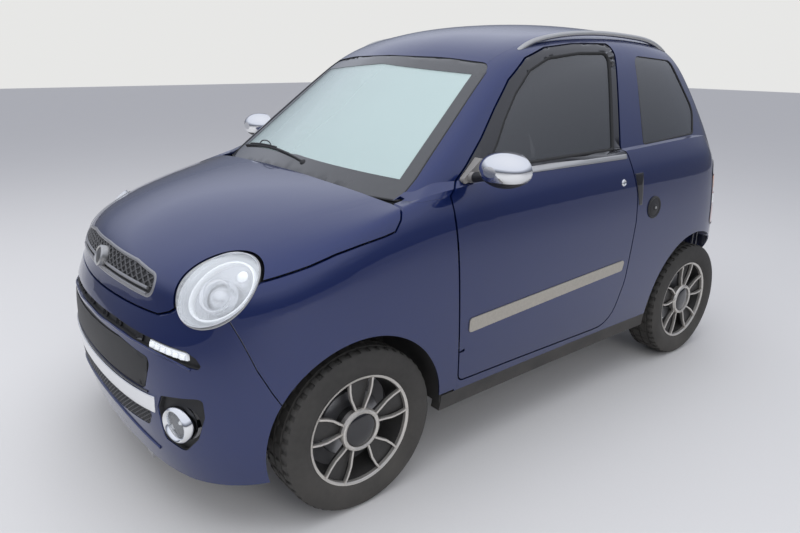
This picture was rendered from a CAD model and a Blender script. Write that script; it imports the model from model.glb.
import math

import bpy
from mathutils import Matrix, Vector
from mathutils.bvhtree import BVHTree


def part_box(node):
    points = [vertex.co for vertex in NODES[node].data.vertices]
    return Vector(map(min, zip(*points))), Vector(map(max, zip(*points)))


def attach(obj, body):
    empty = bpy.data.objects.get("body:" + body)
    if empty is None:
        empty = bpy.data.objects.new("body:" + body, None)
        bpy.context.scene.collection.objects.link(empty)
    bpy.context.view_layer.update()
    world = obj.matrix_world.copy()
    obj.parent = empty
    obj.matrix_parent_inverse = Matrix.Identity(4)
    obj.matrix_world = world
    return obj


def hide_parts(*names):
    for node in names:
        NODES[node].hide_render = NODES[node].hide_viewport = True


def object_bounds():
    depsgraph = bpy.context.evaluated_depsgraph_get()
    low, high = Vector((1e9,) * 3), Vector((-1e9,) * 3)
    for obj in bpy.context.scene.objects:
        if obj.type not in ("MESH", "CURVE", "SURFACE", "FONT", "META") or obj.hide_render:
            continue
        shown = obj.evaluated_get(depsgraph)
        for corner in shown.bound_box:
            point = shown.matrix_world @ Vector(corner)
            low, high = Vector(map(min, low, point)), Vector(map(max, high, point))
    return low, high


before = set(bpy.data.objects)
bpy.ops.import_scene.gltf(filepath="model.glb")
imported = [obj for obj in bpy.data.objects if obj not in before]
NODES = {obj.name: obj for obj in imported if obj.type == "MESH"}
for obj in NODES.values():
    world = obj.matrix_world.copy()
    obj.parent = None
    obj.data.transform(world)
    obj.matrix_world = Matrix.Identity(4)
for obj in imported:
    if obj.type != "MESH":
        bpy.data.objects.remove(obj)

bl_info = {
    "name": "Microcar looks",
    "version": (1, 0, 0),
    "blender": (4, 5, 0),
    "location": "View3D > Sidebar > Microcar",
    "description": "Builds the finish, wheels, lamps, trim and seats of a three-door microcar round its CAD frame",
    "category": "Object",
}

UP, AFT, LEFT = Vector((0, 0, 1)), Vector((0, 1, 0)), Vector((1, 0, 0))
SIDES = (("left", 1), ("right", -1))
(_, NOSE, _), (SIDE, TAIL, TOP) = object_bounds()


def box_of(node):
    """The two corners of a node's box."""
    low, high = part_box(node)
    return Vector(low), Vector(high)


def centre_of(node):
    """The middle of a node's box."""
    low, high = box_of(node)
    return (low + high) / 2


AXLE = centre_of("tyre_front_left").y  # the front axle, where distances along the car start


# ---- What a user may change ----
def size_property(name, description, default):
    return bpy.props.FloatProperty(name=name, description=description, default=default, min=0.0, unit="LENGTH")


def colour_property(name, description, default):
    return bpy.props.FloatVectorProperty(name=name, description=description, default=default, subtype="COLOR",
                                         min=0.0, max=1.0)


class MicrocarSizes(bpy.types.PropertyGroup):
    """Sizes of the trim."""
    seal: size_property("Window seal", "Half the thickness of the rubber round each window", 0.006)
    frit_side: size_property("Frit at the sides", "Width of the dark band up each side of the windscreen", 0.045)
    frit_foot: size_property("Frit at the foot", "Height of the dark band above the windscreen's foot", 0.075)
    mesh_cell: size_property("Grille mesh", "Distance between the strands of the grille mesh", 0.023)
    strand: size_property("Grille strand", "Thickness of a strand of the grille mesh", 0.0060)
    spoke: size_property("Spoke line", "Width of each bright line of the wheels", 0.0075)
    hub_ring: size_property("Hub ring", "Outer radius of the bright ring round each wheel cap", 0.074)
    block: size_property("Tread block", "Depth of the grooves between the tread blocks", 0.005)
    puff: size_property("Seat padding", "How far the seats swell", 0.012)


class MicrocarColours(bpy.types.PropertyGroup):
    """Colours of the main finishes."""
    paint: colour_property("Paint", "Body colour", (0.003, 0.010, 0.068))
    flake: colour_property("Flakes", "Metal flakes in the body colour", (0.008, 0.03, 0.17))
    alloy: colour_property("Alloy", "Machined faces of the wheels", (0.66, 0.63, 0.58))
    strip: colour_property("Door strip", "Brushed strip low on each door", (0.5, 0.47, 0.41))
    cloth: colour_property("Cloth", "Seat covers", (0.035, 0.037, 0.042))


# ---- Materials, and the shader groups that they share ----
COLOUR, NUMBER, VECTOR = "NodeSocketColor", "NodeSocketFloat", "NodeSocketVector"
BUMP_DEPTH = 0.001
DUST_TOP, DUST_COLOUR = 0.6, (0.2, 0.18, 0.155)  # where road dust ends, and its colour


def new_group(name, inputs, outputs):
    """An empty shader group with named sockets."""
    group = bpy.data.node_groups.new(name, "ShaderNodeTree")
    for way, sockets in (("INPUT", inputs), ("OUTPUT", outputs)):
        for label, kind in sockets.items():
            group.interface.new_socket(label, in_out=way, socket_type=kind)
    return group, group.nodes.new("NodeGroupInput").outputs, group.nodes.new("NodeGroupOutput").inputs


def feed(tree, socket, value):
    """Gives a socket a number, a colour or another node's output."""
    if isinstance(value, bpy.types.NodeSocket):
        tree.links.new(value, socket)
    else:
        socket.default_value = (*value, 1) if isinstance(value, tuple) else value


def maths(tree, operation, *values):
    """A math node's result; each value is a number or a socket."""
    node = tree.nodes.new("ShaderNodeMath")
    node.operation = operation
    for socket, value in zip(node.inputs, values):
        feed(tree, socket, value)
    return node.outputs[0]


def mixed(tree, factor, first, second):
    """A colour between two colours."""
    node = tree.nodes.new("ShaderNodeMix")
    node.data_type = "RGBA"
    for label, value in (("Factor", factor), ("A", first), ("B", second)):
        feed(tree, node.inputs[label], value)
    return node.outputs["Result"]


def node_of(tree, kind, **values):
    """A new shader node with its named inputs given, and its outputs."""
    node = tree.nodes.new(f"ShaderNode{kind}")
    for label, value in values.items():
        feed(tree, node.inputs[label.replace("_", " ")], value)
    return node.outputs


def noise(tree, vector, scale, detail=3):
    """A noise of a size that is a number or a socket."""
    return node_of(tree, "TexNoise", Vector=vector, Scale=scale, Detail=detail)["Fac"]


def object_place(tree):
    """Places in the object's own frame, which is the car's."""
    return node_of(tree, "TexCoord")["Object"]


def object_xyz(tree):
    """The same places, split into X, Y and Z."""
    return node_of(tree, "SeparateXYZ", Vector=object_place(tree))


def speckle_group():
    """Base colour with fine flakes and slow unevenness, and a roughness that follows it."""
    group, given, made = new_group(
        "Speckled finish",
        {"Colour": COLOUR, "Second colour": COLOUR, "Scale": NUMBER, "Flakes": NUMBER, "Roughness": NUMBER,
         "Uneven": NUMBER, "Bump": NUMBER},
        {"Colour": COLOUR, "Roughness": NUMBER, "Normal": VECTOR})
    place = object_place(group)
    fine = noise(group, place, given["Scale"])
    slow = noise(group, place, 2.5, 4)
    share = maths(group, "MULTIPLY", fine, given["Flakes"])
    feed(group, made["Colour"], mixed(group, share, given["Colour"], given["Second colour"]))
    centred = maths(group, "SUBTRACT", slow, 0.5)
    feed(group, made["Roughness"], maths(group, "MULTIPLY_ADD", centred, given["Uneven"], given["Roughness"]))
    bump = node_of(group, "Bump", Distance=BUMP_DEPTH, Strength=given["Bump"], Height=fine)
    feed(group, made["Normal"], bump["Normal"])
    return group


def dust_group():
    """A mask that grows towards the ground, for road dust on tyres, liners and the floor pan."""
    group, given, made = new_group("Road dust", {"Height": NUMBER, "Amount": NUMBER}, {"Mask": NUMBER})
    share = maths(group, "DIVIDE", object_xyz(group)["Z"], given["Height"])
    low = maths(group, "MAXIMUM", maths(group, "SUBTRACT", 1.0, share), 0.0)
    patchy = maths(group, "MULTIPLY", low, noise(group, object_place(group), 9.0, 5))
    feed(group, made["Mask"], maths(group, "MULTIPLY", patchy, given["Amount"]))
    return group


def grouped(tree, name, build, **values):
    """A shader group in a material, made on first use, with its input values."""
    node = tree.nodes.new("ShaderNodeGroup")
    node.node_tree = bpy.data.node_groups.get(name) or build()
    for label, value in values.items():
        feed(tree, node.inputs[label.replace("_", " ")], value)
    return node.outputs


def finish_material(name, colour, roughness, metallic=0.0, second=None, scale=400.0, flakes=0.0, uneven=0.0,
                    bump=0.0, coat=0.0, coat_roughness=0.03, alpha=1.0, emission=0.0, specular=0.5, dust=0.0,
                    sheen=0.0, coat_ior=1.5):
    """A material whose varying sockets come from the shared finish groups."""
    material = bpy.data.materials.new(name)
    material.use_nodes = True
    tree = material.node_tree
    look = grouped(tree, "Speckled finish", speckle_group, Colour=colour, Second_colour=second or colour,
                   Scale=scale, Flakes=flakes, Roughness=roughness, Uneven=uneven, Bump=bump)
    shown = look["Colour"]
    if dust:
        film = grouped(tree, "Road dust", dust_group, Height=DUST_TOP, Amount=dust)
        shown = mixed(tree, film["Mask"], shown, DUST_COLOUR)
    values = {"Base Color": shown, "Roughness": look["Roughness"], "Metallic": metallic,
              "Specular IOR Level": specular, "Coat Weight": coat, "Coat Roughness": coat_roughness,
              "Coat IOR": coat_ior, "Alpha": alpha, "Sheen Weight": sheen}
    if bump:
        values["Normal"] = look["Normal"]
    if emission:
        values |= {"Emission Color": colour, "Emission Strength": emission}
    for label, value in values.items():
        feed(tree, tree.nodes["Principled BSDF"].inputs[label], value)
    material.diffuse_color = (*colour, 1)
    return material


CHROME, BLACK = (0.86, 0.87, 0.88), (0.012, 0.012, 0.013)
FINISH_COLUMNS = ("colour", "second", "roughness", "metallic", "scale", "flakes", "uneven", "bump", "coat")
FINISHES = {
    "paint": (None, None, 0.34, 0.7, 1800, 0.6, 0.04, 0, 1),
    "chrome": (CHROME, None, 0.07, 1, 400, 0, 0.04, 0, 0),
    "silver": ((0.5, 0.5, 0.49), (0.4, 0.4, 0.4), 0.3, 0.9, 900, 0.4, 0.1, 0, 0),
    "grey trim": ((0.2, 0.2, 0.21), (0.28, 0.28, 0.29), 0.3, 0.5, 900, 0.4, 0.1, 0, 0.3),
    "alloy bright": (None, (0.5, 0.48, 0.45), 0.32, 0.8, 260, 0.6, 0.2, 0, 0),
    "alloy grey": ((0.032, 0.031, 0.03), (0.07, 0.067, 0.064), 0.42, 0.4, 120, 0.6, 0.2, 0, 0),
    "black plastic": (BLACK, (0.03, 0.03, 0.03), 0.55, 0, 700, 0.5, 0.15, 0.15, 0),
    "arch plastic": (BLACK, (0.035, 0.035, 0.035), 0.7, 0, 200, 0.5, 0.15, 0.3, 0),
    "gloss black": ((0.008, 0.008, 0.01), None, 0.1, 0, 400, 0, 0.05, 0, 0.6),
    "dark grey": ((0.05, 0.05, 0.053), (0.09, 0.09, 0.09), 0.4, 0, 500, 0.4, 0.1, 0, 0),
    "rubber": ((0.01, 0.01, 0.01), (0.02, 0.02, 0.02), 0.6, 0, 400, 0.5, 0.1, 0, 0),
    "tyre": ((0.02, 0.0195, 0.018), (0.05, 0.047, 0.043), 0.8, 0, 55, 0.6, 0.15, 0.3, 0),
    "frit": ((0.035, 0.036, 0.038), (0.06, 0.06, 0.062), 0.16, 0, 30, 0.3, 0.04, 0, 0.6),
    "screen": ((0.52, 0.64, 0.62), None, 0.03, 0, 400, 0, 0, 0, 1),
    "tint": ((0.012, 0.014, 0.016), None, 0.03, 0, 400, 0, 0, 0, 1),
    "lens": ((0.9, 0.93, 0.95), None, 0.02, 0, 400, 0, 0, 0, 1),
    "reflector": ((0.78, 0.79, 0.8), (0.5, 0.51, 0.53), 0.18, 0.75, 12, 0.5, 0.1, 0, 0),
    "white lamp": ((0.82, 0.84, 0.86), None, 0.2, 0, 400, 0, 0, 0, 1),
    "red lamp": ((0.42, 0.01, 0.012), (0.2, 0, 0), 0.1, 0, 90, 0.6, 0, 0, 1),
    "amber lamp": ((0.75, 0.2, 0.01), (0.5, 0.12, 0), 0.12, 0, 80, 0.5, 0, 0, 1),
    "aluminium": ((0.5, 0.51, 0.52), (0.36, 0.36, 0.37), 0.38, 0.9, 60, 0.6, 0.2, 0, 0),
    "cast metal": ((0.09, 0.09, 0.095), (0.15, 0.15, 0.15), 0.6, 0.6, 300, 0.5, 0.2, 0.4, 0),
    "steel": ((0.16, 0.16, 0.165), (0.1, 0.08, 0.07), 0.45, 0.8, 40, 0.5, 0.2, 0, 0),
    "cloth": (None, (0.1, 0.1, 0.11), 0.9, 0, 900, 0.7, 0.1, 0.5, 0),
    "lining": ((0.11, 0.11, 0.115), (0.16, 0.16, 0.16), 0.8, 0, 600, 0.5, 0.1, 0.3, 0),
    "door strip": (None, (0.3, 0.28, 0.25), 0.33, 0.7, 140, 0.75, 0.2, 0.2, 0),
}
FINISH_EXTRAS = {"paint": dict(coat_roughness=0.02, coat_ior=1.6), "arch plastic": dict(dust=0.5),
                 "tyre": dict(dust=0.3), "screen": dict(alpha=0.5, specular=0.9),
                 "tint": dict(alpha=0.82, specular=0.8), "lens": dict(alpha=0.2, specular=1),
                 "white lamp": dict(emission=0.12), "aluminium": dict(dust=0.4), "cloth": dict(sheen=0.3)}
# The user's colours that finishes take: finish, its value, the colour's name
CHOSEN = (("paint", "colour", "paint"), ("paint", "second", "flake"), ("alloy bright", "colour", "alloy"),
          ("door strip", "colour", "strip"), ("cloth", "colour", "cloth"))


def material(name):
    """The named finish, made on first use, with the user's colours where it has them."""
    found = bpy.data.materials.get(name)
    if found:
        return found
    values = dict(zip(FINISH_COLUMNS, FINISHES[name])) | FINISH_EXTRAS.get(name, {})
    for finish, key, label in CHOSEN:
        if finish == name:
            values[key] = tuple(getattr(bpy.context.scene.microcar_colours, label))
    return finish_material(name, **values)


def mirror_material():
    """One finish for the door mirrors: chrome cap, black stalk and grey foot, by place on the car."""
    made = bpy.data.materials.get("mirror housing")
    if made:
        return made
    made = finish_material("mirror housing", CHROME, 0.08)
    tree = made.node_tree
    place, middle = object_xyz(tree), centre_of("door_mirror_left")
    side = maths(tree, "ABSOLUTE", place["X"])
    cap = maths(tree, "GREATER_THAN", side, abs(middle.x) - 0.045)
    foot = maths(tree, "LESS_THAN", side, box_of("door_mirror_left")[0].x + 0.05)
    under = maths(tree, "LESS_THAN", place["Z"], middle.z - 0.03)
    cap = maths(tree, "MULTIPLY", cap, maths(tree, "SUBTRACT", 1.0, under))
    colour = mixed(tree, foot, mixed(tree, cap, BLACK, CHROME), (0.2, 0.19, 0.18))
    roughness = maths(tree, "MULTIPLY_ADD", cap, -0.38, 0.45)
    for label, value in (("Base Color", colour), ("Metallic", cap), ("Roughness", roughness)):
        feed(tree, tree.nodes["Principled BSDF"].inputs[label], value)
    return made


NODE_FINISH = {
    "paint": "hood front_bumper fenders body_side_left body_side_right roof_panel tailgate rear_bumper "
             "door_left door_right",
    "screen": "windscreen",
    "tint": "quarter_glass tailgate_glass door_glass_left door_glass_right",
    "lens": "headlamps fog_lamps",
    "white lamp": "day_lamps",
    "red lamp": "tail_lamps",
    "black plastic": "bumper_grille hood_grille cowl_panel dashboard steering_wheel",
    "arch plastic": "sills wheel_liners",
    "silver": "roof_rails",
    "door strip": "door_strip_left door_strip_right",
    "aluminium": "floor_pan",
    "cast metal": "engine_block knuckle_left knuckle_right",
    "steel": "chassis_frame front_suspension rear_axle",
    "cloth": "seats",
    "tyre": "tyre_front_left tyre_front_right tyre_rear_left tyre_rear_right",
    "alloy grey": "rim_front_left rim_front_right rim_rear_left rim_rear_right",
}
# The slot that a piece takes with each finish, where it isn't black trim
SLOTS = {"paint": "body_paint", "chrome": "silver_trim", "silver": "silver_trim", "tyre": "tyre_rubber",
         "alloy bright": "wheel_alloy", "alloy grey": "wheel_alloy", "steel": "steel", "frit": "glass",
         "lens": "lamp_clear", "white lamp": "lamp_white", "red lamp": "lamp_red", "amber lamp": "lamp_red",
         "cloth": "seat_cloth"}


# ---- Modelling helpers ----
def alone(*objs):
    """Selects only these objects, in object mode, the first one active."""
    if bpy.context.object and bpy.context.object.mode != "OBJECT":
        done()
    bpy.ops.object.select_all(action="DESELECT")
    for obj in objs:
        obj.select_set(True)
    bpy.context.view_layer.objects.active = objs[0]


def edit(obj):
    """Only this object, in edit mode, all of it selected."""
    alone(obj)
    bpy.ops.object.mode_set(mode="EDIT")
    bpy.ops.mesh.select_all(action="SELECT")


def done():
    bpy.ops.object.mode_set(mode="OBJECT")


def pick(obj, test):
    """In edit mode, selects the faces that pass a test of their centre and normal."""
    bpy.ops.mesh.select_mode(type="FACE")
    bpy.ops.mesh.select_all(action="DESELECT")
    done()
    for face in obj.data.polygons:
        face.select = bool(test(face.center, face.normal))
    bpy.ops.object.mode_set(mode="EDIT")


def with_modifier(obj, kind, **values):
    """Adds a modifier and applies it."""
    alone(obj)
    bpy.ops.object.modifier_add(type=kind)
    modifier = obj.modifiers[-1]
    for label, value in values.items():
        setattr(modifier, label, value)
    bpy.ops.object.modifier_apply(modifier=modifier.name)
    return obj


def settle(obj):
    """Puts the object's place, turn and size into its mesh."""
    alone(obj)
    bpy.ops.object.transform_apply(location=True, rotation=True, scale=True)
    return obj


def outward(obj):
    """Merges doubles and turns every face outwards."""
    edit(obj)
    bpy.ops.mesh.remove_doubles(threshold=0.00001)
    bpy.ops.mesh.normals_make_consistent(inside=False)
    done()
    return obj


def dress(obj, name, body, finish, angle=35, slot=None, stands_for=()):
    """Names a finished piece, gives it its finish and slot and fixes it to its body."""
    settle(obj)
    obj.name = obj.data.name = name
    obj.data.materials.clear()
    obj.data.materials.append(material(finish))
    bpy.ops.object.shade_smooth_by_angle(angle=math.radians(angle))
    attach(obj, body)
    slot = slot or SLOTS.get(finish, "black_trim")
    if stands_for:
        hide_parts(*stands_for)


def dress_both(piece, name, finish, angle=35, slot=None, stands_for=()):
    """Dresses a left piece of the body and its copy on the right."""
    right = mirrored(piece)
    dress(piece, f"{name}_left", "body", finish, angle, slot, stands_for)
    dress(right, f"{name}_right", "body", finish, angle, slot)


def copied(obj):
    """A loose copy with its own mesh."""
    alone(obj)
    bpy.ops.object.duplicate(linked=False)
    return bpy.context.object


def mirrored(obj):
    """A copy on the other side of the car."""
    other = copied(obj)
    other.scale.x = -1
    settle(other)
    return outward(other)


def joined(*objs):
    alone(*objs)
    bpy.ops.object.join()
    return bpy.context.object


def removed(*objs):
    for obj in objs:
        bpy.data.objects.remove(obj, do_unlink=True)


def turn_to(direction, upwards=UP):
    """A turn that brings +X onto a direction, with +Z kept as near to upwards as can be."""
    x = Vector(direction).normalized()
    y = Vector(upwards).cross(x).normalized()
    return Matrix((x, y, x.cross(y))).transposed().to_4x4()


def placed(obj, point, direction=LEFT, upwards=UP):
    """Moves a piece that was built round the origin to a point, its +X along a direction."""
    obj.matrix_world = Matrix.Translation(point) @ turn_to(direction, upwards) @ obj.matrix_world
    return settle(obj)


def mm(*rows):
    """Points given in millimetres, in metres."""
    return [tuple(value / 1000 for value in row) for row in rows]


def beside(along, radius, *rows):
    """Profile points given in millimetres from a point of a profile, in metres."""
    return [(along + x, radius + r) for x, r in mm(*rows)]


def fresh(primitive, **values):
    """A new primitive, the only thing selected."""
    bpy.ops.object.select_all(action="DESELECT")
    primitive(**values)
    return bpy.context.object


def spun(profile, steps=48):
    """A turned piece round the X axis, from (along the axis, radius) points; off the axis, it's a ring."""
    if profile[0][1] and profile[-1][1]:
        profile = profile + profile[:1]
    obj = fresh(bpy.ops.mesh.primitive_plane_add, size=0.001)
    edit(obj)
    bpy.ops.mesh.select_mode(type="VERT")
    bpy.ops.mesh.select_all(action="SELECT")
    bpy.ops.mesh.merge(type="CENTER")
    bpy.ops.mesh.select_all(action="SELECT")
    bpy.ops.transform.translate(value=(profile[0][0], 0, profile[0][1]))
    for (x0, r0), (x1, r1) in zip(profile, profile[1:]):
        bpy.ops.mesh.extrude_region_move(TRANSFORM_OT_translate={"value": (x1 - x0, 0, r1 - r0)})
    bpy.ops.mesh.select_all(action="SELECT")
    bpy.ops.mesh.spin(steps=steps, angle=2 * math.pi, center=(0, 0, 0), axis=(1, 0, 0))
    done()
    return outward(obj)


def turned(steps, *profile):
    """A turned piece from a profile in millimetres."""
    return spun(mm(*profile), steps)


def swept(points, half_thick, half_wide, bevel=0.0):
    """A flat bar, its thickness along X, extruded from point to point."""
    obj = fresh(bpy.ops.mesh.primitive_plane_add, size=1)
    points = [Vector(point) for point in points]
    obj.matrix_world = (Matrix.Translation(points[0]) @ turn_to(points[1] - points[0], LEFT) @
                        Matrix.Rotation(math.pi / 2, 4, "Y") @
                        Matrix.Diagonal((2 * half_thick, 2 * half_wide, 1, 1)))
    settle(obj)
    edit(obj)
    bpy.ops.mesh.select_mode(type="FACE")
    bpy.ops.mesh.select_all(action="SELECT")
    for start, end in zip(points, points[1:]):
        bpy.ops.mesh.extrude_region_move(TRANSFORM_OT_translate={"value": end - start})
    done()
    outward(obj)
    if bevel:
        with_modifier(obj, "BEVEL", width=bevel, segments=2, limit_method="ANGLE")
    return obj


def block(low, high, bevel):
    """A box between two corners, its edges rounded."""
    low, high = Vector(low), Vector(high)
    obj = fresh(bpy.ops.mesh.primitive_cube_add, size=1, location=(low + high) / 2)
    obj.scale = high - low
    settle(obj)
    edit(obj)
    bpy.ops.mesh.bevel(offset=bevel, segments=2, affect="EDGES")
    done()
    return obj


def tile(back, front, half_wide, half_tall, bevel):
    """A box across the X axis for setting on a surface, its sizes in millimetres."""
    low, high = mm((back, -half_wide, -half_tall), (front, half_wide, half_tall))
    return block(low, high, bevel / 1000)


def sunk(obj, rim, depth):
    """Sinks the face of a tile that looks along X, inside a rim."""
    edit(obj)
    pick(obj, lambda centre, normal: normal.x > 0.9)
    bpy.ops.mesh.inset(thickness=rim, depth=-depth)
    done()
    return obj


def tube(points, radius, sides=3):
    """A round bar along a smooth line of points."""
    line = bpy.data.curves.new("line", "CURVE")
    line.dimensions = "3D"
    line.bevel_depth = radius
    line.bevel_resolution = sides
    line.use_fill_caps = True
    run = line.splines.new("NURBS")
    run.points.add(len(points) - 1)
    for point, place in zip(run.points, points):
        point.co = (*place, 1)
    run.order_u = 3
    run.use_endpoint_u = True
    obj = bpy.data.objects.new("line", line)
    bpy.context.collection.objects.link(obj)
    alone(obj)
    bpy.ops.object.convert(target="MESH")
    return outward(bpy.context.object)


TREES = {}
OUTSIDE = 0.5  # how far outside the car a search for its surface starts


def surface(node, point, direction):
    """Where a line from a point first meets a CAD node, and the outward normal there."""
    if node not in TREES:
        mesh = NODES[node].data
        faces = [tuple(face.vertices) for face in mesh.polygons]
        TREES[node] = BVHTree.FromPolygons([vertex.co for vertex in mesh.vertices], faces)
    hit, normal, _, _ = TREES[node].ray_cast(Vector(point), Vector(direction))
    if hit is None:
        raise RuntimeError(f"nothing of {node} lies along {tuple(direction)} from {tuple(point)}")
    return hit, (normal if normal.dot(Vector(direction)) < 0 else -normal)


def front_spot(node, x, z):
    """The point of a node at a width and height, seen from in front, and the normal there."""
    return surface(node, (x, NOSE - OUTSIDE, z), AFT)


def nose_spot(x, z):
    """The foremost point of the bumper, its nets and panels included; an open seam gives the spot next to it."""
    for shift in (0, -0.004, 0.004, -0.008, 0.008):
        spots = []
        for node in ("front_bumper", "bumper_grille", "day_lamps", "fog_lamps"):
            try:
                spots.append(front_spot(node, x, z + shift))
            except RuntimeError:
                continue
        if spots:
            return min(spots, key=lambda spot: spot[0].y)
    raise RuntimeError(f"the bumper has a hole at {x}, {z}")


def back_spot(node, x, z):
    """The same, seen from behind."""
    return surface(node, (x, TAIL + OUTSIDE, z), -AFT)


def flank_spot(node, sign, s, z):
    """The point of a node's side at a distance behind the front axle and a height."""
    return surface(node, (sign * (SIDE + OUTSIDE), AXLE + s, z), -LEFT * sign)


def top_spot(node, x, y):
    """The point of a node seen from above."""
    return surface(node, (x, y, TOP + OUTSIDE), -UP)


def followed(spot, places, gap):
    """Points a little off a surface: spot gives the point and normal for each place."""
    return [hit + normal * gap for hit, normal in (spot(*place) for place in places)]


def nose_bar(spot, name, body, finish, reach, height, gap, radius, steps, fall=0.0, power=1.0):
    """A bar across the nose that falls towards its ends, with as many steps on each side."""
    shares = [step / steps for step in range(-steps, steps + 1)]
    places = [(reach * share, height - fall * abs(share) ** power) for share in shares]
    dress(tube(followed(spot, places, gap), radius), name, body, finish, 60)


def skin(node, facing, cuts=(), keep=None, proud=0.0, thick=0.0, least=0.3):
    """The part of a CAD panel's outer face that a few planes cut out, as a sheet on top of it."""
    obj = NODES[node].copy()
    obj.data = NODES[node].data.copy()
    bpy.context.collection.objects.link(obj)
    obj.hide_render = obj.hide_viewport = False
    for key in list(obj.keys()):
        if key.startswith("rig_"):
            del obj[key]
    obj.parent = None
    alone(obj)
    obj.modifiers.clear()
    facing = Vector(facing).normalized()
    edit(obj)
    bpy.ops.mesh.remove_doubles(threshold=0.00002)
    pick(obj, lambda centre, normal: normal.dot(facing) < least)
    bpy.ops.mesh.delete(type="FACE")
    for point, normal, clear in cuts:
        bpy.ops.mesh.select_all(action="SELECT")
        bpy.ops.mesh.bisect(plane_co=point, plane_no=normal, clear_outer=clear)
    if keep:
        pick(obj, lambda centre, normal: not keep(centre))
        bpy.ops.mesh.delete(type="FACE")
    done()
    if not obj.data.polygons:
        raise RuntimeError(f"no skin of {node} was left")
    for vertex in obj.data.vertices if proud else ():
        vertex.co += vertex.normal * proud
    if thick:
        with_modifier(obj, "SOLIDIFY", thickness=thick, offset=1.0)
    return obj


def band(axis, low, high):
    """The two planes that cut a strip out across an axis."""
    normal = Vector((0, 0, 0))
    normal[axis] = 1
    return [(normal * high, normal, True), (normal * low, -normal, True)]


def on_side(sign):
    """A test for what lies on one side of the car."""
    return lambda centre: centre.x * sign > 0


def bead(node, facing, radius, least=0.3, keep=None):
    """A round seal along the outline of a CAD panel's outer face."""
    sheet = skin(node, facing, keep=keep, least=least)
    edit(sheet)
    bpy.ops.mesh.region_to_loop()
    bpy.ops.mesh.duplicate()
    bpy.ops.mesh.separate(type="SELECTED")
    done()
    loop = [obj for obj in bpy.context.selected_objects if obj is not sheet][0]
    removed(sheet)
    alone(loop)
    bpy.ops.object.convert(target="CURVE")
    line = bpy.context.object
    for run in list(line.data.splines):
        if len(run.points) < 8:
            line.data.splines.remove(run)
    line.data.bevel_depth = radius
    line.data.bevel_resolution = 2
    bpy.ops.object.convert(target="MESH")
    return outward(bpy.context.object)


def draped(spot, columns, rows, proud, thick, rounded):
    """A plate that follows a surface: spot gives the point and normal for shares 0 to 1 across and up."""
    obj = fresh(bpy.ops.mesh.primitive_grid_add, x_subdivisions=columns, y_subdivisions=rows, size=1)
    for vertex in obj.data.vertices:
        hit, normal = spot(vertex.co.x + 0.5, vertex.co.y + 0.5)
        vertex.co = hit + normal * proud
    with_modifier(obj, "SOLIDIFY", thickness=thick, offset=0.0)
    with_modifier(obj, "BEVEL", width=rounded, segments=2, limit_method="ANGLE", angle_limit=1.0)
    return outward(obj)


def crossed_net(node, low, high, cell, radius):
    """Two families of slanting strands that follow the nose between two (x, z) corners."""
    strands = []
    wide, tall = high[0] - low[0], high[1] - low[1]
    reach = tall * cell[0] / cell[1]
    for way in (0, 1):
        for number in range(int((wide + reach) / cell[0]) + 1):
            points = []
            for share in (step / 8 for step in range(9)):
                x = low[0] - reach + number * cell[0] + reach * abs(way - share)
                if low[0] < x < high[0]:
                    try:
                        hit, normal = front_spot(node, x, low[1] + tall * share)
                    except RuntimeError:
                        continue
                    if not points or (hit - points[-1]).length < 0.08:
                        points.append(hit + normal * radius * 0.5)
            if len(points) > 2:
                strands.append(tube(points, radius, 1))
    return joined(*strands)


# ---- Wheels ----
CORNERS = {"front_left": 1, "front_right": -1, "rear_left": 1, "rear_right": -1}
SPOKE_LINE = ((0.070, 12.0), (0.095, 14.5), (0.122, 16.5), (0.150, 15.5), (0.178, 13.5))  # radius, degrees
PAIRS = 5  # of spokes
SPOKE_DISH = 0.010  # how far the spokes fall towards the hub
TREAD_FACES = 96


def tread_tyre(half, radius, lip, groove):
    """One tyre round the X axis: grooved tread, cut into blocks, and sidewalls with a rounded shoulder."""
    # Side wall, from the bead to the tread: share of the half width, place from the lip or the tread in mm
    wall = [(share * half, start + off / 1000) for share, start, off in (
        (0.62, lip, -12), (0.80, lip, -8), (0.90, lip, 4), (0.97, lip, 18), (1, lip, 36), (0.995, radius, -36),
        (0.955, radius, -18), (0.88, radius, -6), (0.80, radius, -1.5))]
    tread = [((middle + edge) * half, radius - depth * groove) for middle in (0.52, 0.0, -0.52)
             for edge, depth in ((0.06, 0), (0.045, 1.4), (-0.045, 1.4), (-0.06, 0))]
    obj = spun(wall + tread + [(-x, r) for x, r in reversed(wall)], TREAD_FACES)
    edit(obj)

    def every(count, inner, outer, least):
        """A test for one in so many faces of the tread between two shares of its half width."""
        def test(centre, normal):
            angle = math.atan2(centre.z, centre.y) + 0.001
            turn = int(math.floor(angle / (2 * math.pi / TREAD_FACES)))
            return (inner * half < abs(centre.x) < outer * half and turn % count == 0
                    and math.hypot(centre.y, centre.z) > least)
        return test

    for test, rim, depth in ((every(2, 0.57, 1.1, radius - 0.008), 0.0022, groove),
                             (every(3, 0.08, 0.45, radius - 0.002), 0.0028, 0.8 * groove)):
        pick(obj, test)
        bpy.ops.mesh.inset(thickness=rim, depth=-depth, use_individual=False)
    done()
    return outward(obj)


def spoke_points(side, front, reach):
    """Points of one bright line, from the hub ring to the rim's lip."""
    hub, end = SPOKE_LINE[0][0], SPOKE_LINE[-1][0]
    points = []
    for radius, off in SPOKE_LINE:
        share = (radius - hub) / (end - hub)
        out, turn = hub + share * (reach - hub), math.radians(off) * side
        points.append((front - SPOKE_DISH * (1 - share), out * math.sin(turn), out * math.cos(turn)))
    return points


def round_the_wheel(obj):
    """Copies turned about the X axis, one for each pair of spokes."""
    copies = []
    for pair in range(PAIRS):
        copies.append(copied(obj))
        copies[-1].matrix_world = Matrix.Rotation(2 * math.pi * pair / PAIRS, 4, "X") @ obj.matrix_world
        settle(copies[-1])
    removed(obj)
    return copies


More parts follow.
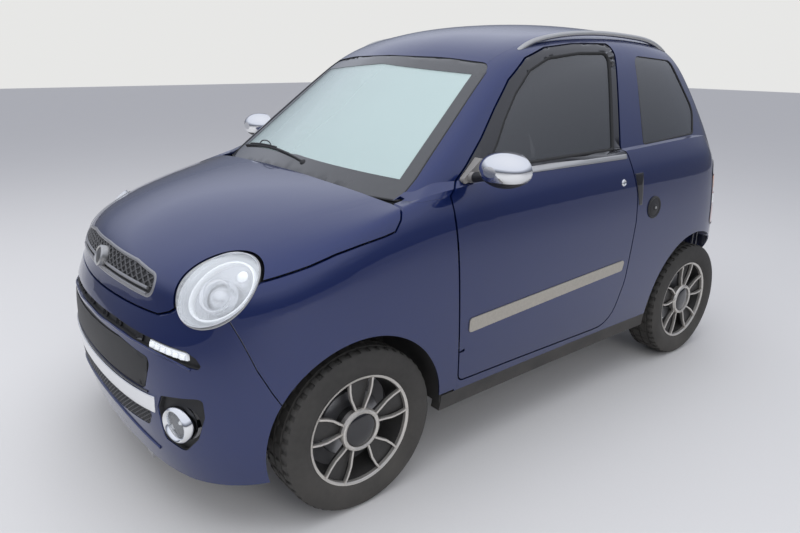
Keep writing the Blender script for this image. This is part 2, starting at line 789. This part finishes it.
class MICROCAR_OT_wheels(bpy.types.Operator):
    """Models the four tyres and alloy wheels"""
    bl_idname = "microcar.wheels"
    bl_label = "Wheels"

    def execute(self, context):
        sizes = context.scene.microcar_sizes
        (low, high), (rim_low, rim_high) = box_of("tyre_front_left"), box_of("rim_front_left")
        half, lip = (high.x - low.x) / 2, (rim_high.z - rim_low.z) / 2
        tyre = tread_tyre(half, (high.z - low.z) / 2, lip, sizes.block)
        front, back = 0.80 * half, -0.2 * half  # the wheel's face, and where the hub ends
        ring, reach = sizes.hub_ring, lip - 0.008
        bright = [spun(beside(front, lip, (-10, -13), (1, -12), (4, -8), (5, -3), (-2, -1), (-10, -3)), 72),
                  spun(beside(front, ring, (-30, -6), (-6, 0), (2, -4), (4, -9), (1, -16), (-12, -18)), 60)]
        for side in (1, -1):
            bright += round_the_wheel(swept(spoke_points(side, front, reach), 0.007, sizes.spoke / 2, 0.0015))
        bright = joined(*bright)

        web = swept([(front - 0.026, 0, 0.05), (front - 0.024, 0, 0.10), (front - 0.020, 0, 0.14),
                     (front - 0.018, 0, reach)], 0.004, 0.5)
        for vertex in web.data.vertices:
            flare = math.tan(math.radians(14.5)) * vertex.co.z
            vertex.co.y = math.copysign(min(flare, 0.043), vertex.co.y)
        bowl = spun([(front - 0.010, lip - 0.012), (front - 0.010, lip - 0.003), (-0.8 * half, lip - 0.004),
                     (-0.85 * half, lip + 0.002), (-0.85 * half, lip - 0.010), (-0.3 * half, lip - 0.030)], 72)
        hub = spun([(front - 0.03, 0.069), (front - 0.05, 0.060), (back, 0.055), (back, 0.02),
                    (front - 0.03, 0.02)], 40)
        dark = joined(*round_the_wheel(web), bowl, hub)
        cap = spun([(front - 0.014, 0.0), *beside(front, ring, (-14, -17), (-4, -17.5), (-0.5, -22)),
                    (front + 0.0012, 0.02), (front + 0.0015, 0.0)], 40)
        disc = turned(48, (-20, 30), (-20, 112), (-12, 116), (-4, 112), (-4, 30))
        for corner, side in CORNERS.items():
            for model, name, finish, stands in (
                    (tyre, "tread_tyre", "tyre", (f"tyre_{corner}",)),
                    (bright, "wheel_lines", "alloy bright", (f"rim_{corner}",)),
                    (dark, "wheel_bowl", "alloy grey", ()), (cap, "wheel_cap", "gloss black", ()),
                    (disc, "brake_disc", "steel", ())):
                piece = placed(copied(model), centre_of(f"tyre_{corner}"), LEFT * side)
                dress(piece, f"{name}_{corner}", f"wheel_{corner}", finish, stands_for=stands)
        removed(tyre, bright, dark, cap, disc)
        return {"FINISHED"}


# ---- Front ----
LAMP_OUT = Vector((0.445, -0.663, 0.602)).normalized()  # the way the left headlamp looks
LAMP_LONG = Vector((0.369, 0.748, 0.552)).normalized()  # along its oval
LAMP_SPOT = Vector((0.552, AXLE - 0.364, 0.787))  # its middle
LAMP_OVAL = Matrix.Diagonal((1, 0.098, 0.135, 1))  # brings a piece of radius 1 to its half width and length


def oval(profile):
    """A turned piece with radii as shares of the lamp's oval, from places along the axis in millimetres."""
    piece = spun([(along / 1000, share) for along, share in profile], 64)
    piece.matrix_world = LAMP_OVAL @ piece.matrix_world
    return settle(piece)


class MICROCAR_OT_headlamps(bpy.types.Operator):
    """Models the headlamps: clear lens, bright rim, bowl, ring and bulbs"""
    bl_idname = "microcar.headlamps"
    bl_label = "Headlamps"

    def execute(self, context):
        hit, _ = surface("headlamps", LAMP_SPOT + LAMP_OUT, -LAMP_OUT)
        lens = skin("headlamps", LAMP_OUT, keep=on_side(1), thick=0.002, least=0.35)
        dress(lens, "headlamp_lens_left", "body", "lens", stands_for=("headlamps",))
        rim = bead("headlamps", LAMP_OUT, 0.0030, least=0.35, keep=on_side(1))
        # Inside the lens: piece, depth under the lens, shift along the oval, name, finish
        inside = (
            (oval([(-72, 0), (-70, 0.35), (-55, 0.70), (-22, 0.93), (0, 0.975), (0, 0.99), (-26, 0.95),
                   (-60, 0.73), (-76, 0.36), (-78, 0)]), 0.020, 0, "bowl", "reflector"),
            (oval([(0, 0.74), (6, 0.76), (6, 0.80), (0, 0.82), (-20, 0.80), (-20, 0.76)]),
             0.045, 0, "step", "white lamp"),
            (turned(48, (0, 40), (8, 44), (10, 50), (-20, 56), (-34, 50), (-34, 40)),
             0.046, -0.020, "bulb_ring", "chrome"),
            (turned(32, (-30, 0), (-28, 20), (-12, 36), (0, 28), (10, 14), (13, 0)),
             0.056, -0.020, "bulb", "reflector"),
            (turned(32, (-14, 0), (-12, 13), (0, 17), (8, 10), (10, 0)),
             0.040, 0.072, "wink_bulb", "white lamp"))
        dress(mirrored(lens), "headlamp_lens_right", "body", "lens", 50)
        dress_both(rim, "headlamp_rim", "silver", 50, "lamp_clear")
        for piece, depth, along, name, finish in inside:
            placed(piece, hit - LAMP_OUT * depth + LAMP_LONG * along, LAMP_OUT, LAMP_LONG)
            dress_both(piece, f"headlamp_{name}", finish, 50, "lamp_clear")
        return {"FINISHED"}


EMBLEM_LOOK = Vector((0, -0.93, 0.36)).normalized()


class MICROCAR_OT_grille(bpy.types.Operator):
    """Models the upper grille: diamond net, rounded surround, blank disc and trim bars"""
    bl_idname = "microcar.grille"
    bl_label = "Grille"

    def execute(self, context):
        sizes = context.scene.microcar_sizes
        low, high = box_of("hood_grille")
        net = crossed_net("hood_grille", (low.x + 0.004, low.z + 0.026), (high.x - 0.004, high.z - 0.002),
                          (sizes.mesh_cell * 1.5, sizes.mesh_cell), sizes.strand / 2)
        dress(net, "grille_net", "hood", "dark grey", 60)
        dress(bead("hood_grille", -AFT, 0.0075, least=0.2), "grille_surround", "hood", "grey trim", 60)
        for number, lift in ((1, 0.010), (2, 0.027)):
            nose_bar(lambda x, z: front_spot("hood_grille", x, z), f"grille_bar_{number}", "hood", "grey trim",
                     0.93 * high.x, low.z + lift, 0.004, 0.0052, 6, 0.006, 2)
        badge = front_spot("hood_grille", 0, 0.779)[0] + EMBLEM_LOOK * 0.020
        ring = turned(56, (-40, 25), (0, 26), (4, 30), (0, 35), (-40, 37))
        disc = turned(48, (-40, 0), (-40, 26), (-2, 26), (3, 16), (5, 0))
        dress(placed(ring, badge, EMBLEM_LOOK), "emblem_ring", "hood", "silver")
        dress(placed(disc, badge, EMBLEM_LOOK), "emblem_disc", "hood", "dark grey")
        return {"FINISHED"}


VENT_PLACES = (0.0, 0.131, 0.231, 0.352)  # of the slots above the strip, from the middle
STRIP_FOOT, STRIP_HEAD, STRIP_END = 0.408, 0.460, 0.441  # heights and half length of the chrome strip


class MICROCAR_OT_bumper_trim(bpy.types.Operator):
    """Models the bumper's chrome strip, net, panel, slots, lamp segments and creases"""
    bl_idname = "microcar.bumper_trim"
    bl_label = "Bumper trim"

    def execute(self, context):
        def strip_spot(across, up):
            return front_spot("front_bumper", (2 * across - 1) * STRIP_END,
                              STRIP_FOOT + (STRIP_HEAD - STRIP_FOOT) * up)

        dress(draped(strip_spot, 60, 4, 0.002, 0.009, 0.002), "chrome_strip", "body", "chrome", 50)
        for number, height in ((1, STRIP_FOOT - 0.003), (2, STRIP_HEAD + 0.006)):
            nose_bar(nose_spot, f"strip_edge_{number}", "body", "gloss black", STRIP_END * 0.93, height,
                     0.001, 0.003, 10)
        net = crossed_net("bumper_grille", (-0.418, 0.345), (0.418, 0.401), (0.021, 0.014), 0.0018)
        dress(net, "low_net", "body", "dark grey", 60)
        panel = skin("bumper_grille", -AFT, cuts=band(2, 0.48, 0.596) + band(0, -0.41, 0.41), proud=0.001,
                     thick=0.002)
        dress(panel, "mouth_panel", "body", "black plastic")
        vents = []
        for x in sorted({side * place for place in VENT_PLACES for side in (-1, 1)}):
            hit, normal = nose_spot(x, 0.6335 - 0.012 * (abs(x) / VENT_PLACES[-1]) ** 1.5)
            vent = sunk(tile(-8, 3, 16, 12, 2), 0.004, 0.010)
            vents.append(placed(vent, hit + normal * 0.004, normal))
        dress(joined(*vents), "slot_vents", "body", "gloss black")
        segments = []
        for step in range(6):
            hit, normal = front_spot("day_lamps", 0.416 + 0.0215 * step, 0.6135 - 0.0030 * step)
            segments.append(placed(tile(-3, 3, 8.5, 7.5, 2), hit + normal * 0.003, normal))
        dress_both(joined(*segments), "day_segments", "white lamp")
        nose_bar(nose_spot, "bumper_crease_1", "body", "paint", 0.555, 0.622, 0.001, 0.0035, 12, 0.049, 2.6)
        nose_bar(nose_spot, "bumper_crease_2", "body", "paint", 0.43, 0.335, 0.001, 0.0045, 12, 0.055, 2.6)
        return {"FINISHED"}


FOG_LOOK = Vector((0.12, -1, 0)).normalized()


class MICROCAR_OT_fog_lamps(bpy.types.Operator):
    """Models the fog lamps: thick chrome ring, glass, bowl and bulb"""
    bl_idname = "microcar.fog_lamps"
    bl_label = "Fog lamps"

    def execute(self, context):
        low, high = box_of("fog_lamps")
        hit, normal = front_spot("fog_lamps", high.x - 0.054, (low.z + high.z) / 2)
        ring = turned(64, (-30, 40), (4, 41), (12, 45), (14, 50), (8, 56), (-10, 58), (-30, 56))
        glass = turned(48, (-6, 41), (0, 40), (5, 28), (8, 14), (9, 0))
        bowl = turned(48, (-34, 0), (-32, 12), (-26, 28), (-10, 40), (-8, 41.5), (-30, 36), (-40, 0))
        bulb = turned(24, (-30, 6), (-12, 8), (-6, 4), (-5, 0))
        for piece, name, finish, stands in (
                (ring, "ring", "chrome", ("fog_lamps",)), (glass, "glass", "lens", ()),
                (bowl, "bowl", "dark grey", ()), (bulb, "bulb", "white lamp", ())):
            placed(piece, hit + FOG_LOOK * 0.004, FOG_LOOK + normal * 0.8)
            dress_both(piece, f"fog_{name}", finish, 50, "lamp_clear", stands)
        return {"FINISHED"}


# ---- Glass and what frames it ----
HEAD_CORNER = (0.505, 1.392)  # width and height of the windscreen's upper corner
FOOT_FALL, HEAD_FALL = 0.035, 0.065  # how fast the dark border's edges fall towards the sides
WIPER_PIVOT, WIPER_TIP = (0.068, 0.197), (-0.540, 0.262)  # x, and distance behind the front axle
WIPER_BOW = ((3, 0.006), (3, 0.020), (4, 0.027), (5, 0.018), (5, 0.004))  # point of the blade, height over it


def wiper_spot(share, gap):
    """A point over the windscreen at a share of the way from the wiper's pivot to its tip."""
    (x0, s0), (x1, s1) = WIPER_PIVOT, WIPER_TIP
    hit, normal = top_spot("windscreen", x0 + (x1 - x0) * share, AXLE + s0 + (s1 - s0) * share)
    return hit + normal * gap


class MICROCAR_OT_windscreen_trim(bpy.types.Operator):
    """Models the windscreen's dark border, rubber, inside mirror and wiper"""
    bl_idname = "microcar.windscreen_trim"
    bl_label = "Windscreen trim"

    def execute(self, context):
        sizes = context.scene.microcar_sizes
        facing = Vector((0, -0.6, 0.8))
        low, high = box_of("windscreen")
        edge = Vector((high.x - sizes.frit_side, 0, low.z))
        lean = Vector((HEAD_CORNER[0] - sizes.frit_side, 0, HEAD_CORNER[1])) - edge
        out = AFT.cross(lean).normalized()
        foot_line, head_line = UP * (low.z + sizes.frit_foot), UP * (high.z - 0.034)
        cuts = [(point * Vector((sign, 1, 1)), normal * Vector((sign, 1, 1)), False) for point, normal in (
            (edge, out), (foot_line, Vector((FOOT_FALL, 0, 1))), (head_line, Vector((HEAD_FALL, 0, 1))))
            for _, sign in SIDES]

        def on_border(c):
            return ((Vector((abs(c.x), 0, c.z)) - edge).dot(out) > 0
                    or c.z < foot_line.z - FOOT_FALL * abs(c.x) or c.z > head_line.z - HEAD_FALL * abs(c.x))

        border = skin("windscreen", facing, cuts=cuts, proud=0.0008, thick=0.0006, keep=on_border)
        dress(border, "screen_border", "body", "frit", 50)
        dress(bead("windscreen", facing, sizes.seal * 0.8), "screen_rubber", "body", "rubber", 60)

        spot, normal = top_spot("windscreen", 0, high.y - 0.16)
        inner = spot - normal * 0.014
        patch = placed(tile(-3, 3, 55, 50, 2.8), spot - normal * 0.011, normal, AFT)
        dress(patch, "sensor_patch", "body", "dark grey")
        stem = tube([inner, inner - normal * 0.03, inner - UP * 0.05 + AFT * 0.02], 0.007)
        housing = placed(tile(-12, 10, 105, 30, 9), inner - UP * 0.065 + AFT * 0.028, AFT)
        dress(joined(stem, housing), "inside_mirror", "body", "black plastic", 50)
        glass = placed(tile(-1.5, 1.5, 98, 24, 1.4), inner - UP * 0.065 + AFT * 0.0395, AFT)
        dress(glass, "inside_mirror_glass", "body", "chrome", slot="glass")

        arm = [wiper_spot(0.56 * step / 6, 0.0045 + 0.002 * math.sin(math.pi * step / 6)) for step in range(7)]
        blade = [wiper_spot(0.22 + 0.78 * step / 8, 0.005) for step in range(9)]
        knob = turned(32, (-4, 0), (-4, 13), (2, 11), (4, 6), (5, 0))
        _, normal = top_spot("windscreen", WIPER_PIVOT[0], AXLE + WIPER_PIVOT[1])
        wiper = joined(tube(arm, 0.0045), tube(blade, 0.0055),
                       tube([point + UP * 0.007 for point in blade[2:-1]], 0.0035),
                       tube([blade[number] + UP * lift for number, lift in WIPER_BOW], 0.0025),
                       placed(knob, wiper_spot(0, 0.003), normal, AFT))
        dress(wiper, "front_wiper", "body", "black plastic", 50)
        return {"FINISHED"}


class MICROCAR_OT_window_trim(bpy.types.Operator):
    """Models the rubber round the side and rear windows, the doors' black frames and the belt strips"""
    bl_idname = "microcar.window_trim"
    bl_label = "Window trim"

    def execute(self, context):
        seal = context.scene.microcar_sizes.seal
        for side, sign in SIDES:
            door, out = f"door_{side}", LEFT * sign
            low, high = box_of(f"door_glass_{side}")
            rubber = bead(f"door_glass_{side}", out, seal * 1.25, least=0.4)
            dress(rubber, f"door_window_rubber_{side}", door, "rubber", 60)
            black = skin(door, out, least=0.25, proud=0.0008, thick=0.0006,
                         cuts=[(UP * (low.z - 0.012), -UP, True)])
            dress(black, f"door_frame_{side}", door, "gloss black", 50)

            def belt_spot(along, up):
                y = low.y + 0.035 + (high.y - low.y - 0.052) * along
                return flank_spot(door, sign, y - AXLE, low.z - 0.028 + 0.018 * up)

            dress(draped(belt_spot, 40, 3, 0.002, 0.008, 0.002), f"belt_strip_{side}", door, "silver", 50)
            rubber = bead("quarter_glass", out, seal * 0.8, keep=on_side(sign))
            dress(rubber, f"quarter_rubber_{side}", "body", "rubber", 60)
        dress(bead("tailgate_glass", AFT + UP * 0.4, seal * 0.8), "tailgate_rubber", "tailgate", "rubber", 60)
        return {"FINISHED"}


# ---- Sides and rear ----
POCKET_FOOT = (1.402, 1.424, 0.828)  # front, rear and height of the finger recess's foot
POCKET_HEAD = (1.374, 1.432, 0.962)


class MICROCAR_OT_side_trim(bpy.types.Operator):
    """Models the door locks, finger recesses, fuel cap and mirror glasses"""
    bl_idname = "microcar.side_trim"
    bl_label = "Side trim"

    def execute(self, context):
        for side, sign in SIDES:
            hit, normal = flank_spot(f"door_{side}", sign, 1.290, 0.934)
            lock = turned(36, (-4, 0), (-4, 14.5), (2, 14), (5, 11), (3.5, 7), (3.5, 0))
            dress(placed(lock, hit, normal), f"door_lock_{side}", f"door_{side}", "chrome")

            def pocket_spot(across, up):
                front, rear, height = (foot + (head - foot) * up for foot, head in zip(POCKET_FOOT, POCKET_HEAD))
                return flank_spot(f"body_side_{side}", sign, front + (rear - front) * across, height)

            pocket = draped(pocket_spot, 4, 16, 0.0002, 0.0024, 0.0006)
            dress(pocket, f"finger_recess_{side}", "body", "gloss black")
            glass = skin(f"door_mirror_{side}", AFT, least=0.8, proud=0.001, thick=0.001,
                         keep=lambda centre: centre.x * sign > 0.755)
            dress(glass, f"mirror_glass_{side}", f"door_{side}", "chrome", slot="glass")
        hit, normal = flank_spot("body_side_left", 1, 1.517, 0.806)
        cap = turned(56, (-6, 0), (-6, 48), (3, 48), (6, 44), (3, 38), (2, 36), (5, 32), (6, 14), (9, 12), (10, 0))
        dress(placed(cap, hit, normal), "fuel_cap", "body", "black plastic")
        plug = turned(24, (0, 0), (0, 7), (11, 6), (12.5, 0))
        dress(placed(plug, hit, normal), "fuel_cap_lock", "body", "silver")
        return {"FINISHED"}


class MICROCAR_OT_tail(bpy.types.Operator):
    """Models the tail lamps' bands, rear plate place, handle, wiper and reflectors"""
    bl_idname = "microcar.tail"
    bl_label = "Tail"

    def execute(self, context):
        low, high = box_of("tail_lamps")
        tall = high.z - low.z
        for side, sign in SIDES:
            facing = Vector((0.6 * sign, 0.8, 0))
            for name, start, end, finish in (("wink", 0.60, 0.78, "amber lamp"),
                                             ("reverse", 0.36, 0.50, "white lamp")):
                strip = skin("tail_lamps", facing, proud=0.0015, thick=0.001, least=0.45, keep=on_side(sign),
                             cuts=band(2, low.z + start * tall, low.z + end * tall))
                dress(strip, f"tail_{name}_{side}", "body", finish, 50, "lamp_red")
            rim = bead("tail_lamps", facing, 0.003, least=0.45, keep=on_side(sign))
            dress(rim, f"tail_rim_{side}", "body", "gloss black", 60)

        hit, normal = back_spot("tailgate", 0, 0.80)
        plate = placed(sunk(tile(-3, 3, 262, 62, 2.5), 0.008, 0.002), hit + normal * 0.018, normal)
        dress(plate, "rear_plate_holder", "tailgate", "black plastic")
        for side, sign in SIDES:
            inner, outer = (back_spot("tailgate", sign * x, 0.765)[0] for x in (0.470, 0.538))
            across = outer - inner
            half = across.length / 2
            plate = block((-0.016, -half - 0.012, -0.046), (0.006, half + 0.004, 0.046), 0.005)
            facing = across.cross(UP) * sign
            placed(plate, (inner + outer) / 2 + UP * 0.062, facing if facing.y > 0 else -facing)
            dress(plate, f"tailgate_reflector_{side}", "tailgate", "red lamp", 50)
        hit, normal = back_spot("tailgate", 0, 0.905)
        grip = block(*mm((-12, -150, -14), (16, 150, 12)), 0.006)
        dress(placed(grip, hit + normal * 0.004, normal), "tailgate_grip", "tailgate", "gloss black")

        foot = box_of("tailgate_glass")[0].z
        places = [(0.04 + 0.36 * step / 7, foot + 0.035 + 0.02 * step / 7) for step in range(8)]
        blade = followed(lambda x, z: back_spot("tailgate_glass", x, z), places, 0.010)
        hit, normal = back_spot("tailgate_glass", 0, foot + 0.03)
        arm = [hit + normal * 0.014, (hit + blade[3]) / 2 + normal * 0.024, blade[4] + normal * 0.008]
        knob = placed(turned(32, (-4, 0), (-4, 18), (14, 16), (18, 8), (19, 0)), hit, normal)
        wiper = joined(tube(blade, 0.006), knob, tube(arm, 0.005))
        dress(wiper, "rear_wiper", "tailgate", "black plastic", 50)

        foot = box_of("rear_bumper")[0].z
        lip = skin("rear_bumper", AFT, cuts=band(2, foot, foot + 0.085), proud=0.001, thick=0.002, least=0.1)
        dress(lip, "rear_bumper_skirt", "body", "arch plastic", 50)
        for side, sign in SIDES:
            hit, normal = back_spot("rear_bumper", sign * 0.50, foot + 0.13)
            dress(placed(tile(-3, 4, 45, 14, 3), hit, normal), f"rear_reflector_{side}", "body", "red lamp")
        return {"FINISHED"}


# ---- Cabin ----
AISLE = 0.07  # from the car's middle to each seat
LEAN = 0.155 / 0.56  # of the backrests


def cushion(low, high, puff, shape=None):
    """A padded piece that swells between two corners: a blown-up cloth shell, then bent by a shape."""
    piece = block(low, high, 0.035)
    with_modifier(piece, "REMESH", mode="VOXEL", voxel_size=0.012)
    rest = [vertex.co.copy() for vertex in piece.data.vertices]
    alone(piece)
    bpy.ops.object.modifier_add(type="CLOTH")
    cloth = piece.modifiers[-1]
    cloth.settings.use_pressure = True
    cloth.settings.uniform_pressure_force = 4.0
    cloth.settings.effector_weights.gravity = 0
    scene = bpy.context.scene
    for step in range(1, 21):
        scene.frame_set(step)
    bpy.ops.object.modifier_apply(modifier=cloth.name)
    scene.frame_set(1)
    for vertex, start in zip(piece.data.vertices, rest):
        move = vertex.co - start
        if move.length > puff:
            vertex.co = start + move.normalized() * puff
        if shape:
            vertex.co = shape(vertex.co)
    return with_modifier(piece, "SUBSURF", levels=1, render_levels=1)


class MICROCAR_OT_seats(bpy.types.Operator):
    """Models the two padded seats with their backrests and headrests"""
    bl_idname = "microcar.seats"
    bl_label = "Seats"

    def execute(self, context):
        puff = context.scene.microcar_sizes.puff
        low, high = box_of("seats")
        front, back = low.y + puff, high.y - puff
        for side, sign in SIDES:
            x0, x1 = sorted((sign * (AISLE + puff), sign * (high.x - puff)))
            middle = (x0 + x1) / 2

            def dip(place, depth, half):
                """How far the middle of a cushion is pressed in."""
                return depth * max(0.0, 1 - ((place.x - middle) / half) ** 2)

            def bench(place):
                return place - UP * dip(place, 0.018, 0.2) if place.z > low.z + 0.15 else place

            def backrest(place):
                drop = dip(place, 0.016, 0.17) if place.y < back - 0.22 else 0
                return place + AFT * (LEAN * (place.z - high.z + 0.17) + drop)

            base = cushion((x0, front, low.z + 0.06), (x1, front + 0.50, low.z + 0.22 - puff), puff, bench)
            rest = cushion((x0, back - 0.16, low.z + 0.20), (x1, back - 0.045, high.z - 0.19), puff, backrest)
            pillow = cushion((middle - 0.125, back - 0.075, high.z - 0.165 + puff),
                             (middle + 0.125, back - 0.005, high.z - puff), puff * 0.7)
            stands = ("seats",) if side == "left" else ()
            for obj, name, fill, stands_for in ((base, "base", 0.7, stands), (rest, "back", 0.7, ()),
                                                (pillow, "headrest", 0.8, ())):
                dress(obj, f"seat_{name}_{side}", "body", "cloth", 60, stands_for=stands_for)
            posts = [tube([(middle + off, back - 0.06, high.z - 0.21), (middle + off, back - 0.05, high.z - 0.12)],
                          0.006) for off in (-0.05, 0.05)]
            dress(joined(*posts), f"headrest_posts_{side}", "body", "chrome", slot="steel")
            runner = block((x0 + 0.03, front + 0.02, low.z), (x1 - 0.03, front + 0.46, low.z + 0.065), 0.008)
            dress(runner, f"seat_runner_{side}", "body", "black plastic")
        return {"FINISHED"}


class MICROCAR_OT_cabin(bpy.types.Operator):
    """Models the dashboard's air outlets and its lid"""
    bl_idname = "microcar.cabin"
    bl_label = "Cabin"

    def execute(self, context):
        for number, off in ((1, -0.42), (2, 0.42)):
            outlet = turned(40, (-6, 0), (-6, 38), (4, 36), (6, 30), (-2, 26), (2, 8), (3, 0))
            hit, normal = surface("dashboard", (off, 0.2, 0.87), -AFT)
            dress(placed(outlet, hit, normal), f"air_outlet_{number}", "body", "gloss black")
        lid = skin("dashboard", AFT + UP * 0.3, cuts=band(2, 0.72, 0.80) + band(0, -0.50, -0.16), proud=0.002,
                   thick=0.003, least=0.6)
        dress(lid, "glove_lid", "body", "lining")
        return {"FINISHED"}


class MICROCAR_OT_finish_frame(bpy.types.Operator):
    """Gives every CAD node its finish"""
    bl_idname = "microcar.finish_frame"
    bl_label = "Finish the frame"

    def execute(self, context):
        finishes = {name: finish for finish, names in NODE_FINISH.items() for name in names.split()}
        for name, finish in finishes.items():
            NODES[name].data.materials.clear()
            NODES[name].data.materials.append(material(finish))
        for side, _ in SIDES:
            NODES[f"door_mirror_{side}"].data.materials.clear()
            NODES[f"door_mirror_{side}"].data.materials.append(mirror_material())
        return {"FINISHED"}


# ---- Stage ----
CAMERA_PLACE = (2.205, -1.900, 1.4146)
CAMERA_AZIMUTH, CAMERA_ELEVATION, CAMERA_ROLL = 51.68, 18.04, 0.43
LENS = 29.08
# The sky from straight below (0) to straight above (1), with the horizon at 0.5
SKY = ((0.0, (0.11, 0.10, 0.095)), (0.48, (0.13, 0.13, 0.13)), (0.56, (0.22, 0.24, 0.3)),
       (0.7, (0.84, 0.88, 1.0)), (1.0, (0.95, 0.98, 1.08)))


def make_camera():
    """A camera at the height and angle of a standing viewer by the left headlamp."""
    a, e, roll = (math.radians(v) for v in (CAMERA_AZIMUTH, CAMERA_ELEVATION, CAMERA_ROLL))
    back = Vector((math.sin(a) * math.cos(e), -math.cos(a) * math.cos(e), math.sin(e)))
    right = UP.cross(back).normalized()
    top = back.cross(right)
    right, top = (right * math.cos(roll) + top * math.sin(roll), top * math.cos(roll) - right * math.sin(roll))
    bpy.ops.object.camera_add()
    camera = bpy.context.object
    turn = Matrix((right, top, back)).transposed().to_4x4()
    camera.matrix_world = Matrix.Translation(CAMERA_PLACE) @ turn
    camera.data.lens = LENS
    camera.data.sensor_width = 36
    camera.data.clip_start = 0.02
    bpy.context.scene.camera = camera


def area_light(name, place, aim, wide, tall, power, colour=(1, 1, 1)):
    bpy.ops.object.light_add(type="AREA", location=place)
    light = bpy.context.object
    light.name = name
    light.data.shape = "RECTANGLE"
    light.data.size, light.data.size_y = wide, tall
    light.data.energy = power
    light.data.color = colour
    light.visible_glossy = False
    light.rotation_euler = (Vector(aim) - Vector(place)).to_track_quat("-Z", "Y").to_euler()


def make_world():
    """Soft pale light all round, over a plain background."""
    world = bpy.context.scene.world = bpy.data.worlds.new("Studio")
    world.use_nodes = True
    tree = world.node_tree
    split = node_of(tree, "SeparateXYZ", Vector=node_of(tree, "TexCoord")["Generated"])
    height = node_of(tree, "MapRange", From_Min=-1.0, Value=split["Z"])
    ramp = tree.nodes.new("ShaderNodeValToRGB")
    feed(tree, ramp.inputs["Fac"], height["Result"])
    marks = ramp.color_ramp.elements
    for number, (position, colour) in enumerate(SKY):
        mark = marks[0] if number == 0 else marks[-1] if number == len(SKY) - 1 else marks.new(position)
        mark.position, mark.color = position, (*colour, 1)
    sky = tree.nodes["Background"]
    feed(tree, sky.inputs["Color"], ramp.outputs["Color"])
    feed(tree, sky.inputs["Strength"], 0.9)
    plain = node_of(tree, "Background", Color=(0.80, 0.80, 0.79), Strength=1.0)
    choose = tree.nodes.new("ShaderNodeMixShader")
    seen = node_of(tree, "LightPath")["Is Camera Ray"]
    for socket, value in zip(choose.inputs, (seen, sky.outputs[0], plain[0])):
        feed(tree, socket, value)
    feed(tree, tree.nodes["World Output"].inputs["Surface"], choose.outputs[0])


def make_floor():
    """A plain pale floor."""
    bpy.ops.mesh.primitive_plane_add(size=60, location=(0, 0, 0))
    floor = bpy.context.object
    floor.name = "floor"
    floor.data.materials.append(finish_material("floor", (0.5, 0.49, 0.48), 0.7, second=(0.45, 0.44, 0.43),
                                                scale=120, flakes=0.4, uneven=0.1))


class MICROCAR_OT_stage(bpy.types.Operator):
    """Sets up the floor, the soft studio light and the camera"""
    bl_idname = "microcar.stage"
    bl_label = "Stage"

    def execute(self, context):
        context.scene.view_settings.view_transform = "Standard"
        make_world()
        make_floor()
        make_camera()
        area_light("sky panel", (0.4, -0.6, 5.2), (0, 0, 0.8), 5.0, 7.0, 260, (0.93, 0.96, 1.0))
        area_light("side panel", (5.5, -1.5, 3.0), (0, 0, 0.6), 3.0, 3.0, 90)
        area_light("front panel", (-3.5, -5.0, 3.2), (0, -0.8, 0.7), 3.0, 2.0, 90)
        return {"FINISHED"}


# ---- Panel and registration ----
OPERATORS = (MICROCAR_OT_finish_frame, MICROCAR_OT_wheels, MICROCAR_OT_headlamps, MICROCAR_OT_grille,
             MICROCAR_OT_bumper_trim, MICROCAR_OT_fog_lamps, MICROCAR_OT_windscreen_trim,
             MICROCAR_OT_window_trim, MICROCAR_OT_side_trim, MICROCAR_OT_tail, MICROCAR_OT_seats,
             MICROCAR_OT_cabin, MICROCAR_OT_stage)


class MICROCAR_PT_panel(bpy.types.Panel):
    """Lists the car's sizes, colours and building steps"""
    bl_idname = "MICROCAR_PT_panel"
    bl_label = "Microcar"
    bl_space_type = "VIEW_3D"
    bl_region_type = "UI"
    bl_category = "Microcar"

    def draw(self, context):
        for group in (context.scene.microcar_sizes, context.scene.microcar_colours):
            for label in group.bl_rna.properties.keys():
                if label not in {"rna_type", "name"}:
                    self.layout.prop(group, label)
        for operator in OPERATORS:
            self.layout.operator(operator.bl_idname)


CLASSES = (MicrocarSizes, MicrocarColours, *OPERATORS, MICROCAR_PT_panel)


def register():
    for made in CLASSES:
        bpy.utils.register_class(made)
    bpy.types.Scene.microcar_sizes = bpy.props.PointerProperty(type=MicrocarSizes)
    bpy.types.Scene.microcar_colours = bpy.props.PointerProperty(type=MicrocarColours)


def unregister():
    del bpy.types.Scene.microcar_colours
    del bpy.types.Scene.microcar_sizes
    for made in reversed(CLASSES):
        bpy.utils.unregister_class(made)


def main():
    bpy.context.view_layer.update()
    register()
    for operator in OPERATORS:
        group, step = operator.bl_idname.split(".")
        getattr(getattr(bpy.ops, group), step)()


if __name__ == "__main__":
    main()
